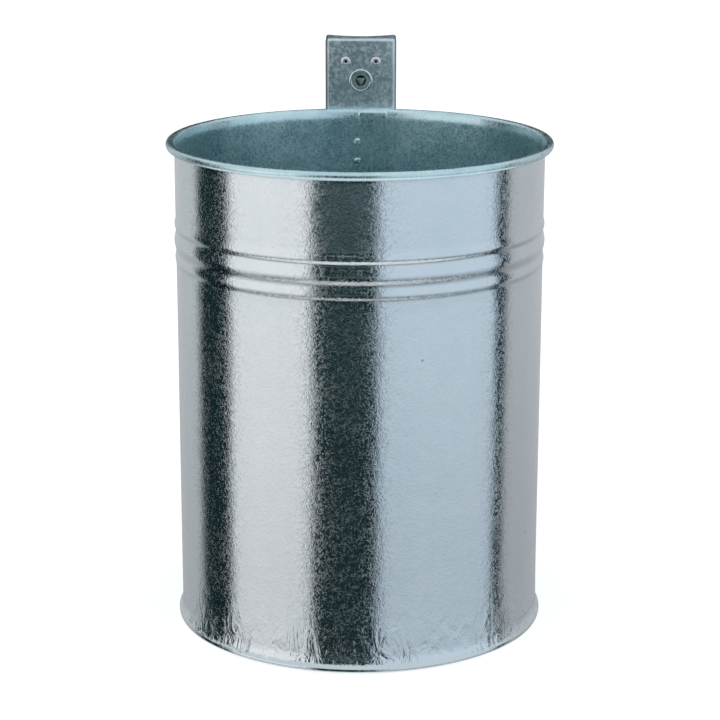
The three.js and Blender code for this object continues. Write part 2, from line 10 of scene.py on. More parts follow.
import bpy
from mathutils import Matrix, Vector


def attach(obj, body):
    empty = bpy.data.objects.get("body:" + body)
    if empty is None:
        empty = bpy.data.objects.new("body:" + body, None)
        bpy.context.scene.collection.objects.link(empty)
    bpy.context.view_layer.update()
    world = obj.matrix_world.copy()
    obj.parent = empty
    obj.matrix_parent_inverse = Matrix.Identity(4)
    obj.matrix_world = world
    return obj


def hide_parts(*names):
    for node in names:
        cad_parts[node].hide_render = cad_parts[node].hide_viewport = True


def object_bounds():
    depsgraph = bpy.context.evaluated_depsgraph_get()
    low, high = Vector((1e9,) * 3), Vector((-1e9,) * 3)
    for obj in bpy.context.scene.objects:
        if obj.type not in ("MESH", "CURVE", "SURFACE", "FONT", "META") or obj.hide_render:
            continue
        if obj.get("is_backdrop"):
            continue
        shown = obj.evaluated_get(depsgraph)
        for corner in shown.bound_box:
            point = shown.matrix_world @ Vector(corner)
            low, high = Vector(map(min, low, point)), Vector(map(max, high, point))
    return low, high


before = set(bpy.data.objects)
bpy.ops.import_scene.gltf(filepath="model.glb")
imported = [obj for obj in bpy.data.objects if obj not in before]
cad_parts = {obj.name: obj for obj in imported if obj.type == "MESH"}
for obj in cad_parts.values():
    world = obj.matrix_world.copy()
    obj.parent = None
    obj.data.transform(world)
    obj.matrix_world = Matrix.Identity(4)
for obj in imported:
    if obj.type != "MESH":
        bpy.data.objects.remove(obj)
solid_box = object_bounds()

import math

import bmesh
import bpy
from mathutils import Matrix, Vector, noise

MM = 0.001

# %% [markdown]
# ## The camera
#
# The photograph looks down on the bin by about fifteen degrees from two metres away, with a
# long lens. Its sides stay parallel, as with a shifted lens. A large shift would push the
# bin out of every other view, so a plain camera is used, at the place that brings the rim,
# the bottom seam and the hood closest to where the photograph has them.

# %% Make the camera
FOCAL_PX, PICTURE_PX, SENSOR_MM = 2255.0, 720.0, 36.0
CAMERA_AT = (0.0106, -1.9299, 0.7548)
LOOK_DOWN, ROLL, TURN = 15.21, -0.07, 0.32


def add_object(name, data):
    """A new object that carries some data, linked into the scene."""
    made = bpy.data.objects.new(name, data)
    bpy.context.scene.collection.objects.link(made)
    return made


camera_data = bpy.data.cameras.new("camera")
camera_data.sensor_width = SENSOR_MM
camera_data.lens = FOCAL_PX * SENSOR_MM / PICTURE_PX
camera_data.clip_end = 50.0
camera = add_object("camera", camera_data)
camera.location = CAMERA_AT
camera.rotation_euler = [math.radians(angle) for angle in (90.0 - LOOK_DOWN, ROLL, TURN)]
bpy.context.scene.camera = camera
bpy.context.scene.view_settings.view_transform = "Standard"
print("lens", round(camera_data.lens, 1), "mm")

# %% [markdown]
# ## The studio
#
# Polished zinc shows what stands round it. The bin was photographed between two large white
# panels with a dark room behind the camera, and the bands of light and dark on its side are
# those panels. A world shader that depends only on the direction gives the same bands: the
# azimuth round the bin picks the panel, and the height above or below the horizon picks the
# floor or the ceiling. The background that the camera itself sees is plain white.

# %% Node helpers
def link_math(tree, operation, a, b=None, c=None, clamp=False):
    """A Math node whose inputs are numbers or sockets; gives its output socket."""
    node = tree.nodes.new("ShaderNodeMath")
    node.operation = operation
    node.use_clamp = clamp
    for i, value in enumerate((a, b, c)):
        if value is None:
            continue
        if isinstance(value, (int, float)):
            node.inputs[i].default_value = value
        else:
            tree.links.new(value, node.inputs[i])
    return node.outputs[0]


def ramp(tree, value, stops):
    """A Color Ramp with stops of (place, colour); gives its colour socket."""
    node = tree.nodes.new("ShaderNodeValToRGB")
    elements = node.color_ramp.elements
    while len(elements) < len(stops):
        elements.new(0.5)
    # All the places are set before the colours, so that no stop changes its rank in between.
    for element, (place, _) in zip(elements, stops):
        element.position = place
    for element, (_, colour) in zip(elements, stops):
        element.color = (*colour, 1.0)
    tree.links.new(value, node.inputs["Fac"])
    return node.outputs["Color"]


def mix(tree, kind, factor, a, b):
    """A Mix node whose inputs are numbers, colours or sockets; gives its colour socket."""
    node = tree.nodes.new("ShaderNodeMix")
    node.data_type = "RGBA"
    node.blend_type = kind
    node.clamp_factor = True
    for socket, value in ((node.inputs[0], factor), (node.inputs[6], a), (node.inputs[7], b)):
        if isinstance(value, (int, float)):
            socket.default_value = value
        elif isinstance(value, tuple):
            socket.default_value = (*value, 1.0)
        else:
            tree.links.new(value, socket)
    return node.outputs[2]


print("node helpers ready")

# %% Turn a direction into an azimuth and a height
world = bpy.data.worlds.new("studio")
bpy.context.scene.world = world
world.use_nodes = True
wt = world.node_tree
wt.nodes.clear()

coords = wt.nodes.new("ShaderNodeTexCoord")
direction = wt.nodes.new("ShaderNodeSeparateXYZ")
wt.links.new(coords.outputs["Generated"], direction.inputs[0])
away = link_math(wt, "MULTIPLY", direction.outputs["Y"], -1.0)
angle = link_math(wt, "ARCTAN2", direction.outputs["X"], away)
turn = link_math(wt, "MULTIPLY_ADD", angle, 1.0 / (2.0 * math.pi), 0.5)
rise = link_math(wt, "ARCSINE", direction.outputs["Z"])
height = link_math(wt, "MULTIPLY_ADD", rise, 1.0 / math.pi, 0.5)


def az(degrees):
    """An azimuth's place on a ramp: 0 degrees towards the camera, positive to the right."""
    return (degrees + 180.0) / 360.0


def el(degrees):
    """The place on a ramp of a height above or below the horizon."""
    return (degrees + 90.0) / 180.0


def mask(value, *stops):
    """A grey ramp from (place, level) stops that keeps its end levels out to both ends."""
    levels = [(0.0, stops[0][1]), *stops, (1.0, stops[-1][1])]
    return ramp(wt, value, [(place, (level, level, level)) for place, level in levels])


print("the camera looks from", [round(c, 2) for c in CAMERA_AT])

# %% Stand the panels, the table and the ceiling round the bin
WHITE = (1.0, 1.0, 1.0)
GAP = (0.018, 0.036, 0.040)
LEFT_PANEL = (1.04, 1.00, 1.02)
LEFT_DARK = (0.010, 0.026, 0.030)
LEFT_REAR = (0.63, 0.64, 0.65)
RIGHT_PANEL = (0.71, 0.79, 0.89)
RIGHT_DARK = (0.012, 0.035, 0.045)
REAR = (0.58, 0.58, 0.61)
TABLE_EDGE = (0.30, 0.32, 0.33)
panels = ramp(wt, turn, [
    (0.0, REAR), (az(-122), LEFT_REAR), (az(-117), LEFT_DARK), (az(-89), LEFT_DARK),
    (az(-86), LEFT_PANEL), (az(-30.5), LEFT_PANEL), (az(-28.5), GAP), (az(10.5), GAP),
    (az(13), RIGHT_PANEL), (az(92.5), RIGHT_PANEL), (az(94.5), RIGHT_DARK),
    (az(102.5), RIGHT_DARK), (az(105), REAR), (1.0, REAR),
])
# Below the panels the table's dark edge shows, and then the bright table itself.
low = mask(height, (el(-38), 1.0), (el(-34), 0.0))
edge = ramp(wt, height, [
    (0.0, WHITE), (el(-37), TABLE_EDGE), (el(-31), TABLE_EDGE), (el(-26), (0.66, 0.67, 0.67)),
    (el(-18), (0.84, 0.84, 0.84)), (el(-11), WHITE), (1.0, WHITE),
])
# Behind the bin the ceiling starts higher up than in front.
high = mask(height, (el(17), 0.0), (el(26), 1.0))
behind = mask(turn, (az(-125), 1.0), (az(-118), 0.0), (az(112), 0.0), (az(120), 1.0))
above = mask(height, (el(-5.0), 0.0), (el(0.0), 1.0))
overhead = mask(height, (el(38), 0.0), (el(52), 1.0))
# Right behind the bin an open door shows a darker room, which the hood's top mirrors.
door = mask(turn, (az(-158), 1.0), (az(-150), 0.0), (az(150), 0.0), (az(158), 1.0))
# Across the room in front, a dim grey strip runs at the height that the wall below the rim
# mirrors, so the dark band is paler there.
ahead = mask(turn, (az(-29.5), 0.0), (az(-28.5), 1.0), (az(10.5), 1.0), (az(12), 0.0))
strip = mask(height, (el(-12.6), 0.0), (el(-11.0), 1.0), (el(-8.5), 1.0), (el(-7.0), 0.0))
print("ramps:", sum(node.type == "VALTORGB" for node in wt.nodes))

# %% Join the parts of the studio
DIM_STRIP = (0.12, 0.17, 0.18)
REAR_ROOM = (0.03, 0.05, 0.055)
TABLE = (0.95, 0.95, 0.96)
CEILING = (0.72, 0.77, 0.81)
in_strip = mix(wt, "MULTIPLY", 1.0, ahead, strip)
in_door = mix(wt, "MULTIPLY", 1.0, door, above)
banded = mix(wt, "MULTIPLY", 1.0, panels, edge)
with_strip = mix(wt, "MIX", in_strip, banded, DIM_STRIP)
with_room = mix(wt, "MIX", in_door, with_strip, REAR_ROOM)
with_table = mix(wt, "MIX", low, with_room, TABLE)
in_ceiling = mix(wt, "MIX", behind, high, overhead)
surround = mix(wt, "MIX", in_ceiling, with_table, CEILING)
light_path = wt.nodes.new("ShaderNodeLightPath")
seen = mix(wt, "MIX", light_path.outputs["Is Camera Ray"], surround, WHITE)
background = wt.nodes.new("ShaderNodeBackground")
background.inputs["Strength"].default_value = 1.0
wt.links.new(seen, background.inputs["Color"])
output = wt.nodes.new("ShaderNodeOutputWorld")
wt.links.new(background.outputs[0], output.inputs["Surface"])
print("world nodes:", len(wt.nodes))

# %% [markdown]
# ## The floor
#
# A pale floor carries the scene: the bin stands on it, as in the photograph, although it
# hangs in life. The floor glows a little, as a table lit from below does, so that the shadow
# stays soft and light. It is kept out of the zinc's reflections, which show the studio.

# %% Make the floor
FLOOR_R, FLOOR_DROP, FLOOR_GLOW = 30.0, 0.0005, 0.55


def shader(name):
    """A new material with an empty tree, a Principled shader and an output."""
    material = bpy.data.materials.new(name)
    material.use_nodes = True
    tree = material.node_tree
    tree.nodes.clear()
    principled = tree.nodes.new("ShaderNodeBsdfPrincipled")
    out = tree.nodes.new("ShaderNodeOutputMaterial")
    tree.links.new(principled.outputs[0], out.inputs["Surface"])
    return material, tree, principled


floor_material, _, floor_shader = shader("pale_floor")
floor_shader.inputs["Base Color"].default_value = (0.86, 0.87, 0.88, 1.0)
floor_shader.inputs["Roughness"].default_value = 0.8
floor_shader.inputs["Emission Color"].default_value = (*WHITE, 1.0)
floor_shader.inputs["Emission Strength"].default_value = FLOOR_GLOW

bm = bmesh.new()
bmesh.ops.create_circle(bm, cap_ends=True, segments=96, radius=FLOOR_R)
floor_mesh = bpy.data.meshes.new("floor")
bm.to_mesh(floor_mesh)
bm.free()
floor_mesh.materials.append(floor_material)
floor_object = add_object("floor", floor_mesh)
floor_object.location.z = -FLOOR_DROP
floor_object.visible_glossy = False
floor_object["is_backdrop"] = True
print("floor radius", FLOOR_R, "m")

# %% [markdown]
# ## Shared helpers for sheet-metal pieces
#
# Bent sheet is easiest to make as one surface that gets its wall afterwards. `turned` spins
# a line of (radius, height) about the bin's axis, or about a line along Y. `finish_piece`
# merges doubles, makes the faces point outwards, turns a bmesh into an object that rides on
# its body, and smooths what is round.

# %% Helpers for pieces
SAME = 1e-6


def smooth_round(mesh, degrees):
    """Smooths the faces that meet at less than an angle."""
    for polygon in mesh.polygons:
        polygon.use_smooth = True
    mesh.set_sharp_from_angle(angle=math.radians(degrees))


def finish_piece(name, bm, material, body="bin", smooth=35.0, replaces=()):
    """A bmesh becomes a named object that rides on a body."""
    bmesh.ops.remove_doubles(bm, verts=bm.verts, dist=SAME)
    bmesh.ops.recalc_face_normals(bm, faces=bm.faces)
    mesh = bpy.data.meshes.new(name)
    bm.to_mesh(mesh)
    bm.free()
    mesh.materials.append(material)
    piece = add_object(name, mesh)
    smooth_round(mesh, smooth)
    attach(piece, body)
    if replaces:
        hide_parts(*replaces)
    print(name, len(mesh.polygons), "faces")
    return piece


def add_wall(piece, thickness):
    """A Solidify modifier thickens a bent surface, half the sheet's thickness to each side."""
    wall = piece.modifiers.new("wall", "SOLIDIFY")
    wall.thickness = thickness * MM
    wall.offset = 0.0
    wall.use_even_offset = True
    wall.use_quality_normals = True
    return wall


print("piece helpers ready")

# %% Helpers for lines
def line_of(bm, points, closed=False):
    """Vertices joined by edges, from a list of (x, y, z) in millimetres."""
    verts = [bm.verts.new(Vector(p) * MM) for p in points]
    pairs = zip(verts, verts[1:] + (verts[:1] if closed else []))
    edges = [bm.edges.new(pair) for pair in pairs]
    return verts, edges


def arc_points(cx, cy, r, start, end, steps):
    """Points (x, y) along an arc, angles in degrees."""
    made = []
    for i in range(steps + 1):
        a = math.radians(start + (end - start) * i / steps)
        made.append((cx + r * math.cos(a), cy + r * math.sin(a)))
    return made


def turned(points, steps, closed=False, along="Z", centre=(0, 0, 0)):
    """A bmesh of a line of (radius, height) spun once round an axis along Z or Y."""
    bm = bmesh.new()
    if along == "Z":
        axis, places = (0, 0, 1), [(0, -r, h) for r, h in points]
    else:
        axis, places = (0, 1, 0), [(r, h, 0) for r, h in points]
    shift = Vector(centre)
    verts, edges = line_of(bm, [Vector(p) + shift for p in places], closed)
    bmesh.ops.spin(
        bm, geom=verts + edges, cent=shift * MM, axis=axis, angle=2 * math.pi, steps=steps,
        use_merge=True, use_duplicate=False,
    )
    bmesh.ops.remove_doubles(bm, verts=bm.verts, dist=SAME)
    return bm


def pull_up(bm, edges, levels):
    """Extrudes edges upward through a list of heights; gives the last edges."""
    for z in levels:
        pulled = bmesh.ops.extrude_edge_only(bm, edges=edges)["geom"]
        edges = [g for g in pulled if isinstance(g, bmesh.types.BMEdge)]
        for v in {v for e in edges for v in e.verts}:
            v.co.z = z * MM
    return edges


def push_out(bm, faces, vec):
    """Extrudes faces along a vector in millimetres."""
    grown = bmesh.ops.extrude_face_region(bm, geom=faces)["geom"]
    verts = [g for g in grown if isinstance(g, bmesh.types.BMVert)]
    bmesh.ops.translate(bm, verts=verts, vec=Vector(vec) * MM)


def share_of(x):
    """A number held between 0 and 1."""
    return min(1.0, max(0.0, x))


def outward(co):
    """The unit vector that points away from the bin's axis."""
    return Vector((co.x, co.y, 0.0)).normalized()


print("line helpers ready")

# %% [markdown]
# ## Hot-dip zinc
#
# A bin like this is dipped in molten zinc after it is made. Where a panel is mirrored, the
# skin looks smooth and even; where the dark gap is mirrored, it is full of fine speckle. That
# is how a glossy metal with small frosted crystals behaves: a frosted crystal spreads light
# from a panel into the dark, but changes nothing in the middle of a bright panel. So the
# speckle belongs in the roughness and in a fine bump, and hardly in the colour. Slow clouds,
# faint upright streaks and a few dark specks finish it. Everything reads Object coordinates,
# so the pattern stays with the metal. One builder makes all the variants. Two extras can be
# asked for: zinc that has run down and set in lumps near the foot, and painted shade past two
# places in x, which darkens the colour of the hood's cheeks.

# %% Helpers for noise and bumps
def noise_at(tree, source, scale, detail, rough, distortion=0.0, stretch=None):
    """A Noise Texture, stretched along the axes if wanted; gives its factor socket."""
    if stretch:
        squeeze = tree.nodes.new("ShaderNodeMapping")
        squeeze.inputs["Scale"].default_value = stretch
        tree.links.new(source, squeeze.inputs["Vector"])
        source = squeeze.outputs[0]
    node = tree.nodes.new("ShaderNodeTexNoise")
    node.inputs["Scale"].default_value = scale
    node.inputs["Detail"].default_value = detail
    node.inputs["Roughness"].default_value = rough
    node.inputs["Distortion"].default_value = distortion
    tree.links.new(source, node.inputs["Vector"])
    return node.outputs["Fac"]


def bump(tree, height, distance, normal=None):
    """A Bump node at full strength, on top of another bump if wanted; gives its normal."""
    node = tree.nodes.new("ShaderNodeBump")
    node.inputs["Strength"].default_value = 1.0
    node.inputs["Distance"].default_value = distance
    tree.links.new(height, node.inputs["Height"])
    if normal is not None:
        tree.links.new(normal, node.inputs["Normal"])
    return node.outputs[0]


def split_place(tree, place):
    """The x, y and z sockets of a vector socket."""
    node = tree.nodes.new("ShaderNodeSeparateXYZ")
    tree.links.new(place, node.inputs[0])
    return node.outputs


print("noise helpers ready")

# %% The two extras
RUN_TOP, RUN_BUMP = 0.075, 0.0016
# Painted shade on the sides fades in over this width.
SIDE_SHADE_BLUR = 0.8 * MM


def with_runs(tree, place, source, normal):
    """Molten zinc drains downward and sets in lumps and runs above the bottom seam."""
    z = split_place(tree, place)["Z"]
    foot = link_math(tree, "MULTIPLY_ADD", z, -1.0 / RUN_TOP, 1.0, clamp=True)
    foot = link_math(tree, "POWER", foot, 2.0)
    lumps = noise_at(tree, source, 75.0, 3.0, 0.55, distortion=1.5, stretch=(1.0, 1.0, 0.55))
    lumps = link_math(tree, "MULTIPLY", lumps, foot)
    return bump(tree, lumps, RUN_BUMP, normal)


def with_painted_side_shade(tree, place, colour, left, right, side_shade):
    """Past a place on the left and one on the right, the colour is darkened: painted shade."""
    x = split_place(tree, place)["X"]
    past = link_math(tree, "SUBTRACT", x, (left + right) / 2 * MM)
    past = link_math(tree, "ABSOLUTE", past)
    past = link_math(tree, "SUBTRACT", past, (right - left) / 2 * MM)
    past = link_math(tree, "MULTIPLY_ADD", past, 1.0 / SIDE_SHADE_BLUR, 0.5, clamp=True)
    return mix(tree, "MULTIPLY", past, colour, side_shade)


print("runs reach", RUN_TOP / MM, "mm up")

# %% The zinc builder
FINE_BUMP, SLOW_BUMP = 0.00010, 0.00015
FROST_MIDDLE = 0.9924


def zinc(
    name, tone, shade, smooth=0.03, frosted=0.27, grain=420.0, relief=1.0, wave=1.0,
    specks=0.215, runs=False, painted_shade_sides=None, seed=0.0,
):
    """Galvanized metal: frosted speckle, slow clouds, upright streaks and small specks."""
    material, tree, principled = shader(name)
    links = tree.links
    place = tree.nodes.new("ShaderNodeTexCoord").outputs["Object"]
    mapping = tree.nodes.new("ShaderNodeMapping")
    mapping.inputs["Location"].default_value = (seed, seed * 0.7, seed * 1.3)
    links.new(place, mapping.inputs["Vector"])
    source = mapping.outputs[0]
    clouds = noise_at(tree, source, 16.0, 4.0, 0.6)
    drifts = noise_at(tree, source, 60.0, 3.0, 0.6)
    frost = noise_at(tree, source, grain, 2.0, 0.55, distortion=0.9)
    dust = noise_at(tree, source, grain * 2.3, 1.0, 0.5)
    streaks = noise_at(tree, source, 30.0, 4.0, 0.6, stretch=(1.5, 1.5, 0.10))

    # Frosted share: fine frost, thicker in some drifts than in others.
    share = link_math(tree, "MULTIPLY_ADD", dust, 0.50, frost)
    share = link_math(tree, "MULTIPLY_ADD", drifts, 0.22, share)
    share = link_math(tree, "MULTIPLY_ADD", clouds, 0.22, share)
    share = link_math(tree, "SUBTRACT", share, FROST_MIDDLE)
    share = link_math(tree, "MULTIPLY_ADD", share, 5.5, 0.5, clamp=True)
    rough = link_math(tree, "MULTIPLY_ADD", share, frosted - smooth, smooth)
    links.new(rough, principled.inputs["Roughness"])

    # Colour: between shade and tone, with a few small darker specks.
    blend = link_math(tree, "MULTIPLY", clouds, 0.35)
    blend = link_math(tree, "MULTIPLY_ADD", drifts, 0.25, blend)
    blend = link_math(tree, "MULTIPLY_ADD", streaks, 0.25, blend)
    blend = link_math(tree, "MULTIPLY_ADD", share, 0.12, blend)
    colour = ramp(tree, blend, [(0.32, shade), (0.66, tone)])
    spots = noise_at(tree, source, 170.0, 1.5, 0.5)
    spot_mask = ramp(tree, spots, [(specks - 0.03, WHITE), (specks, (0.0, 0.0, 0.0))])
    stain = (shade[0] * 0.5, shade[1] * 0.52, shade[2] * 0.55)
    colour = mix(tree, "MIX", spot_mask, colour, stain)
    # Painted shade: past two places in x the colour is darkened, where asked for.
    if painted_shade_sides:
        colour = with_painted_side_shade(tree, place, colour, *painted_shade_sides)
    links.new(colour, principled.inputs["Base Color"])
    principled.inputs["Metallic"].default_value = 1.0

    # Relief: fine grain on a slow wave.
    skin = link_math(tree, "MULTIPLY_ADD", dust, 0.4, frost)
    normal = bump(tree, drifts, SLOW_BUMP * wave)
    normal = bump(tree, skin, FINE_BUMP * relief, normal)
    if runs:
        normal = with_runs(tree, place, source, normal)
    links.new(normal, principled.inputs["Normal"])
    return material


print("zinc builder ready")

# %% Make the finishes
SHELL_TONES = ((0.73, 0.79, 0.805), (0.65, 0.73, 0.75))
SHELL_ZINC = zinc("shell_zinc", *SHELL_TONES, runs=True, seed=0.31)
PAN_ZINC = zinc("pan_zinc", *SHELL_TONES, seed=0.31)
WELD_ZINC = zinc(
    "weld_zinc", (0.88, 0.97, 0.99), (0.42, 0.56, 0.59), smooth=0.22, frosted=0.50,
    grain=520.0, relief=1.6, wave=0.6, seed=8.2,
)
INSIDE_ZINC = zinc(
    "inside_zinc", (0.76, 0.94, 0.97), (0.50, 0.72, 0.76), smooth=0.26, frosted=0.40,
    relief=0.7, wave=2.6, seed=0.31,
)
# Everything with this finish gets painted shade past x = -30.7 mm and x = 31.4 mm: there its
# colour is multiplied by a dark grey, which darkens the hood's cheeks.
HOOD_ZINC = zinc(
    "hood_zinc", (0.86, 0.95, 0.965), (0.57, 0.705, 0.735), smooth=0.36, frosted=0.52,
    grain=240.0, wave=1.6, painted_shade_sides=(-30.7, 31.4, (0.36, 0.36, 0.35)), seed=1.7,
)
DARK_ZINC = zinc(
    "dark_zinc", (0.36, 0.42, 0.44), (0.20, 0.25, 0.26), smooth=0.30, frosted=0.60,
    relief=0.8, seed=2.9,
)
BRIGHT_ZINC = zinc(
    "bright_zinc", (0.80, 0.86, 0.88), (0.66, 0.72, 0.75), smooth=0.14, frosted=0.30,
    grain=520.0, relief=0.3, wave=0.3, specks=0.15, seed=4.3,
)
RIVET_ZINC = zinc(
    "rivet_zinc", (0.92, 0.93, 0.94), (0.80, 0.82, 0.84), smooth=0.38, frosted=0.50,
    grain=520.0, relief=0.2, wave=0.2, specks=0.12, seed=3.3,
)
CORE_ZINC = zinc(
    "core_zinc", (0.66, 0.80, 0.80), (0.46, 0.58, 0.58), smooth=0.38, frosted=0.55,
    relief=0.5, wave=0.6, seed=5.1,
)
PIN_STEEL = zinc(
    "pin_steel", (0.10, 0.12, 0.13), (0.04, 0.05, 0.055), smooth=0.45, frosted=0.65,
    relief=0.5, wave=0.6, seed=6.4,
)
print("finishes:", sum(m.name.endswith(("_zinc", "_steel")) for m in bpy.data.materials))

# %% [markdown]
# ## The shell
#
# The bin's wall is one rolled sheet, a millimetre thick. Three beads are pressed into it
# below the rim, its upper edge is curled outward over a wire, and its foot is turned outward
# for the bottom seam. The centre line of the sheet is drawn once, in (radius, height), and
# spun round the bin's axis; Solidify gives the wall.

# %% Draw the shell's line
WALL_R, RIM_Z, CURL_R, FOOT_Z = 159.5, 425.5, 163.7, 2.2
BEADS = [(362.3, 11.0, 1.0), (351.3, 18.5, 1.35), (332.8, 11.7, 0.8)]
BEADS_END, BEAD_STEPS = 321.1, 14

shell_line = [(161.9, FOOT_Z), (160.9, FOOT_Z), (160.1, FOOT_Z + 0.15)]
shell_line += [(159.65, FOOT_Z + 0.6), (WALL_R, FOOT_Z + 1.4)]
shell_line += [(WALL_R, float(z)) for z in range(10, 320, 10)]
bead_points = []
for top, width, swell in BEADS:
    for i in range(BEAD_STEPS):
        out = swell * 0.5 * (1 - math.cos(2 * math.pi * i / BEAD_STEPS))
        bead_points.append((WALL_R + out, top - width * i / BEAD_STEPS))
bead_points.append((WALL_R, BEADS_END))
shell_line += bead_points[::-1]
shell_line += [(WALL_R, z) for z in (366.0, 374.0, 384.0, 394.0, 404.0, 412.0, 418.0)]
shell_line += [(159.53, 420.0), (159.66, 421.6), (159.92, 423.2), (160.3, 424.9)]
shell_line += arc_points(CURL_R, RIM_Z, 3.2, 161, -118, 26)
print("points in the shell's line:", len(shell_line))

# %% Spin the shell
SHELL_STEPS = 256
UNEVEN, LEAN = 0.35, 0.1
PLAIN_FROM, PLAIN_TO, FADE = 8.0, 418.0, 40.0

bm = turned(shell_line, SHELL_STEPS)
# Rolled and dipped sheet is never quite true: give the plain wall a slow unevenness.
for v in bm.verts:
    z = v.co.z / MM
    plain = share_of((z - PLAIN_FROM) / FADE) * share_of((PLAIN_TO - z) / FADE)
    if plain > 0.0:
        around = Vector((v.co.x * 9.0, v.co.y * 9.0, v.co.z * 6.0))
        swell = noise.noise(around) * UNEVEN * plain
        v.co += outward(v.co) * (swell - LEAN * plain) * MM
# The drawn faces turn to the axis and make the inner skin. The faces that Solidify adds make
# the outer skin, and its material offset gives them the second finish.
shell = finish_piece("shell", bm, INSIDE_ZINC, replaces=("bin_body",), smooth=60.0)
shell.data.materials.append(SHELL_ZINC)
wall = add_wall(shell, 1.0)
wall.material_offset = 1

# %% [markdown]
# ## The lap seam
#
# The sheet's two ends overlap at the back by 28 mm. From above, the inner layer shows as a
# strip with one crisp edge on the far wall, up and over the curl. A short spin about the
# same axis makes it, from a line that keeps just inside the wall and just outside the curl.

# %% Spin the lap
LAP_OFFSET, LAP_FOOT, LAP_SHEET = 0.95, 1.3, 0.9
LAP_LEFT, LAP_RIGHT = -2.8, 25.2
PRESSED_FROM, PRESSED_BY = 0.75, 0.42
lap_r = WALL_R - LAP_OFFSET
start = math.asin(LAP_LEFT / lap_r)
stretch = math.asin(LAP_RIGHT / lap_r) - start
lap_line = [(lap_r, z) for z in [LAP_FOOT] + list(range(10, 415, 12)) + [415.0]]
lap_line += [(158.6, 420.0), (158.7, 423.0), (158.95, 425.4), (159.6, 427.4)]
lap_line += arc_points(CURL_R, RIM_Z, 3.8, 145, 60, 10)
bm = bmesh.new()
lap_places = [(r * math.sin(start), r * math.cos(start), z) for r, z in lap_line]
verts, edges = line_of(bm, lap_places)
bmesh.ops.spin(
    bm, geom=verts + edges, cent=(0, 0, 0), axis=(0, 0, 1), angle=-stretch, steps=10,
    use_merge=False, use_duplicate=False,
)
# Its right end is pressed flat against the shell, so that only the left edge stands proud.
for v in bm.verts:
    across = (math.atan2(v.co.x, v.co.y) - start) / stretch
    sink = PRESSED_BY * max(0.0, (across - PRESSED_FROM) / (1.0 - PRESSED_FROM)) ** 2
    v.co += outward(v.co) * sink * MM
lap = finish_piece("lap_seam", bm, INSIDE_ZINC, smooth=60.0)
add_wall(lap, LAP_SHEET)

# %% [markdown]
# ## The rim wire and the floor pan
#
# The wire is a plain ring inside the curl. The floor is a disc whose edge is folded up and in
# over the shell's foot, which makes the thin seam round the bottom. The disc's drain holes
# are cut with Boolean modifiers that are applied at once.

# %% Helpers that cut holes
def carve(piece, cutters):
    """Cuts bmesh cutters out of a piece and keeps the result as its mesh."""
    made = []
    for i, cutter in enumerate(cutters):
        bmesh.ops.recalc_face_normals(cutter, faces=cutter.faces)
        mesh = bpy.data.meshes.new(f"{piece.name}_cutter_{i}")
        cutter.to_mesh(mesh)
        cutter.free()
        cut = piece.modifiers.new(f"cut_{i}", "BOOLEAN")
        cut.operation = "DIFFERENCE"
        cut.solver = "EXACT"
        cut.object = add_object(mesh.name, mesh)
        made.append(cut.object)
    graph = bpy.context.evaluated_depsgraph_get()
    graph.update()
    old = piece.data
    result = bpy.data.meshes.new_from_object(piece.evaluated_get(graph))
    piece.modifiers.clear()
    piece.data = result
    smooth_round(result, 35.0)
    bpy.data.meshes.remove(old)
    for tool in made:
        bpy.data.objects.remove(tool)
    print(piece.name, "cut by", len(made), "tools,", len(result.polygons), "faces")


def rod(radius, centre, along, length, segments=48):
    """A bmesh cylinder in millimetres along Z or Y."""
    bm = bmesh.new()
    bmesh.ops.create_cone(
        bm, cap_ends=True, segments=segments, radius1=radius * MM, radius2=radius * MM,
        depth=length * MM,
    )
    if along == "Y":
        bmesh.ops.rotate(bm, verts=bm.verts, matrix=Matrix.Rotation(math.pi / 2, 3, "X"))
    bmesh.ops.translate(bm, verts=bm.verts, vec=Vector(centre) * MM)
    return bm


def block(size, centre):
    """A bmesh box in millimetres."""
    bm = bmesh.new()
    bmesh.ops.create_cube(bm, size=1.0)
    bmesh.ops.scale(bm, verts=bm.verts, vec=Vector(size) * MM)
    bmesh.ops.translate(bm, verts=bm.verts, vec=Vector(centre) * MM)
    return bm


print("cutting helpers ready")

# %% Make the wire and the pan
WIRE_R, PAN_Z = 2.4, 0.5
DRAIN_R, DRAIN_CIRCLE = 4.0, 110
wire_line = arc_points(CURL_R, RIM_Z, WIRE_R, 0, 345, 23)
wire = finish_piece(
    "wire_ring", turned(wire_line, SHELL_STEPS, closed=True), BRIGHT_ZINC,
    replaces=("rim_wire",),
)

pan_line = [(r, PAN_Z) for r in (0.0, 40.0, 80.0, 120.0, 150.0, 160.0)]
pan_line += arc_points(161.6, 1.7, 1.2, -90, 0, 5)
pan_line += arc_points(161.9, 3.0, 0.9, 0, 90, 5)
pan_line += [(161.2, 3.9), (160.75, 3.88)]
pan = finish_piece("pan", turned(pan_line, SHELL_STEPS), PAN_ZINC, replaces=("floor_pan",))
add_wall(pan, 1.0)
drain_angles = [math.radians(45 + 90 * i) for i in range(4)]
carve(pan, [
    rod(DRAIN_R, (DRAIN_CIRCLE * math.cos(a), DRAIN_CIRCLE * math.sin(a), PAN_Z), "Z", 6.0)
    for a in drain_angles
])

# %% [markdown]
# ## Zinc in the seam
#
# The dip leaves a lumpy fillet of zinc in the corner above the folded seam. A closed line
# spun round the axis makes the ring, and noise of two sizes moves it up and down a little.

# %% Fill the seam
fill_line = [(160.02, 15.0), (160.1, 12.0), (160.35, 9.5), (160.8, 7.4), (161.5, 5.8)]
fill_line += [(162.3, 4.7), (162.95, 3.9), (163.3, 3.0), (162.6, 3.0), (159.8, 5.0)]
bm = turned(fill_line, SHELL_STEPS, closed=True)
for v in bm.verts:
    push = noise.noise(v.co * 40.0) * 0.25 + noise.noise(v.co * 160.0) * 0.06
    v.co.z += push * MM
seam = finish_piece("seam_fill", bm, SHELL_ZINC, smooth=70.0)

